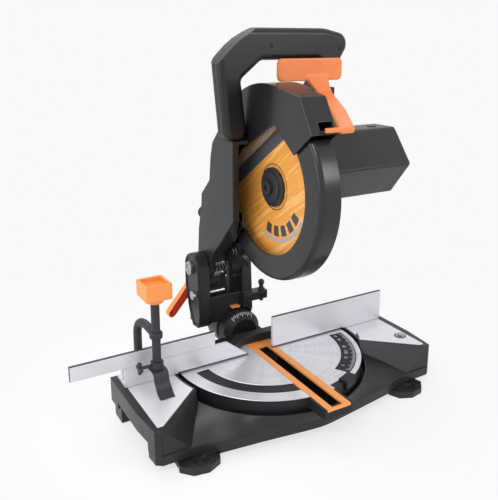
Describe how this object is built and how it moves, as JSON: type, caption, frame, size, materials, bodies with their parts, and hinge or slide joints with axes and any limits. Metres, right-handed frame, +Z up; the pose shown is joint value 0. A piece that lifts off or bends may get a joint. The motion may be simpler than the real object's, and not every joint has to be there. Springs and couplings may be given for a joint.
{
  "type": "compound mitre saw",
  "caption": "Compound mitre saw: a round blade on a hinged, tilting and turning head over a cast base, with fences, work clamp, guards, motor and trigger handle.",
  "frame": {"origin": "On the mitre pivot axis in the plane of the fence face, at bench level.", "axes": "+X to the operator's right along the fence, +Y to the back, +Z up."},
  "size_m": [0.449, 0.2865, 0.4529],
  "materials": {
    "cast_black": "die-cast aluminium, satin black paint",
    "machined": "machined aluminium",
    "steel": "bright steel",
    "black_steel": "black oxide steel",
    "guard_black": "satin black moulded plastic",
    "grip_black": "fine-grained black plastic",
    "orange_plastic": "orange moulded plastic",
    "blade_orange": "orange printed steel blade",
    "carbide": "carbide",
    "laminated": "laminated steel and copper",
    "scale": "black scale strip with white ticks"
  },
  "bodies": {
    "base": {"base_casting": "cast_black", "fence_left": "machined", "fence_right": "machined", "fence_bridge": "cast_black", "fence_bolts": "steel", "mitre_pivot": "steel"},
    "slide": {"sliding_fence": "machined", "fence_lock_screw": "guard_black"},
    "clamp_swing_arm": {"clamp_arm": "black_steel"},
    "clamp_foot": {"clamp_shoe": "black_steel", "shoe_screw": "black_steel"},
    "clamp_spindle": {"clamp_screw": "black_steel", "clamp_knob": "orange_plastic"},
    "table": {"turntable": "machined", "kerf_plate": "orange_plastic", "kerf_screws": "steel", "mitre_scale": "scale", "bevel_bolt": "steel"},
    "latch": {"mitre_latch": "guard_black"},
    "bevel_arm": {"bevel_yoke": "cast_black", "hinge_pin": "steel", "hinge_nuts": "steel", "return_spring": "steel", "stop_screw": "black_steel", "bevel_pointer": "orange_plastic"},
    "head_lock": {"lock_pin": "steel"},
    "bevel_handle": {"bevel_lever": "orange_plastic"},
    "saw_head": {"head_arm": "cast_black", "upper_guard": "guard_black", "gear_case": "cast_black", "motor_housing": "guard_black", "motor_end_cap": "guard_black", "stator": "laminated", "brush_caps": "guard_black", "handle_front": "grip_black", "handle_rear": "grip_black", "handle_screws": "steel", "power_switch": "guard_black", "cable_gland": "guard_black", "arbor_bearings": "steel", "motor_bearings": "steel", "trigger_pin": "steel"},
    "trigger": {"trigger_lever": "orange_plastic"},
    "arbor_lock": {"spindle_lock": "guard_black"},
    "blade": {"arbor": "steel", "saw_blade": "blade_orange", "blade_tips": "carbide", "inner_flange": "black_steel", "outer_flange": "black_steel", "arbor_bolt": "steel", "driven_gear": "steel"},
    "rotor": {"armature": "laminated", "cooling_fan": "guard_black"},
    "guard": {"lower_guard": "guard_black"}
  },
  "joints": [
    {"name": "mitre_turn", "type": "hinge", "parent": "base", "child": "table", "pos_m": [0, 0, 0.05], "axis": [0, 0, 1], "range_deg": [-45, 45]},
    {"name": "latch_press", "type": "slide", "parent": "table", "child": "latch", "axis": [0, 0, -1], "range_m": [0, 0.0025], "stiffness_N_per_m": 300, "springref_m": -0.003},
    {"name": "bevel_tilt", "type": "hinge", "parent": "table", "child": "bevel_arm", "pos_m": [0, 0.082, 0.05], "axis": [0, 1, 0], "range_deg": [-45, 0]},
    {"name": "bevel_clamp", "type": "hinge", "parent": "table", "child": "bevel_handle", "pos_m": [0, 0.12, 0.05], "axis": [0, 1, 0], "range_deg": [0, 40]},
    {"name": "lock_pull", "type": "slide", "parent": "bevel_arm", "child": "head_lock", "axis": [-1, 0, 0], "range_m": [0, 0.01]},
    {"name": "chop", "type": "hinge", "parent": "bevel_arm", "child": "saw_head", "pos_m": [0, 0.1, 0.141], "axis": [1, 0, 0], "range_deg": [0, 53], "stiffness_Nm_per_rad": 9, "springref_deg": -63.03, "deforming": ["return_spring"]},
    {"name": "trigger_pull", "type": "hinge", "parent": "saw_head", "child": "trigger", "pos_m": [0.077, 0.002, 0.376], "axis": [-1, 0, 0], "range_deg": [0, 3.5], "stiffness_Nm_per_rad": 2, "springref_deg": -5.73},
    {"name": "arbor_lock_press", "type": "slide", "parent": "saw_head", "child": "arbor_lock", "axis": [0, 0, -1], "range_m": [0, 0.003], "stiffness_N_per_m": 300, "springref_m": -0.003},
    {"name": "blade_spin", "type": "hinge", "parent": "saw_head", "child": "blade", "pos_m": [0, -0.016, 0.269], "axis": [1, 0, 0], "continuous": true},
    {"name": "rotor_spin", "type": "hinge", "parent": "saw_head", "child": "rotor", "pos_m": [0.1, 0.007, 0.28633], "axis": [1, 0, 0], "continuous": true},
    {"name": "guard_swing", "type": "hinge", "parent": "saw_head", "child": "guard", "pos_m": [0.012, -0.016, 0.269], "axis": [1, 0, 0], "range_deg": [-146.2, 0]},
    {"name": "fence_slide", "type": "slide", "parent": "base", "child": "slide", "axis": [1, 0, 0], "range_m": [-0.035, 0.04]},
    {"name": "clamp_swing", "type": "hinge", "parent": "base", "child": "clamp_swing_arm", "pos_m": [-0.166, 0.019, 0.05], "axis": [0, 0, 1], "range_deg": [-20, 20]},
    {"name": "clamp_feed", "type": "slide", "parent": "clamp_swing_arm", "child": "clamp_foot", "axis": [0, 0, 1], "range_m": [0, 0.018]},
    {"name": "clamp_turn", "type": "hinge", "parent": "clamp_foot", "child": "clamp_spindle", "pos_m": [-0.157, -0.017, 0.15], "axis": [0, 0, 1], "range_deg": [0, 2165]}
  ],
  "couplings": [
    {"joint": "guard_swing", "follows": "chop", "ratio": -2.7547},
    {"joint": "rotor_spin", "follows": "blade_spin", "ratio": -3},
    {"joint": "clamp_turn", "follows": "clamp_feed", "rad_per_m": 2094.4}
  ]
}
